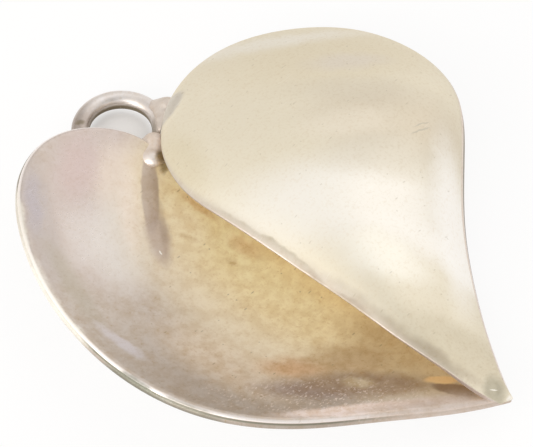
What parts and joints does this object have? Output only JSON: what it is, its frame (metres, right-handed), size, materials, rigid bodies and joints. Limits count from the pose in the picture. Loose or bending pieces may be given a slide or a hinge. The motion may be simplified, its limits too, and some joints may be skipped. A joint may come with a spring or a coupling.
{
  "type": "heart pendant",
  "caption": "Heart-shaped pendant of two sheets: a dished back and a domed half shell over it with a free curved edge and a pocket beneath, hung by a closed wire ring behind the cleft.",
  "frame": {"origin": "middle of the footprint, at the level that the pendant rests on", "axes": "+Z out of the front, +Y from the tip to the cleft, +X towards the domed half"},
  "size_m": [0.0424, 0.0468, 0.0089],
  "materials": {
    "polished_silver": "polished silver, lightly tarnished",
    "satin_silver": "satin silver with fine scratches",
    "wire_silver": "polished silver wire, tarnished in its inner side",
    "solder": "bright silver solder"
  },
  "bodies": {
    "root": {"back_sheet": "polished_silver", "front_shell": "satin_silver", "hanging_ring": "wire_silver", "seam_solder": "solder", "cleft_solder": "solder", "tip_solder": "solder", "ring_solder_left": "solder", "ring_solder_right": "solder"}
  },
  "joints": []
}
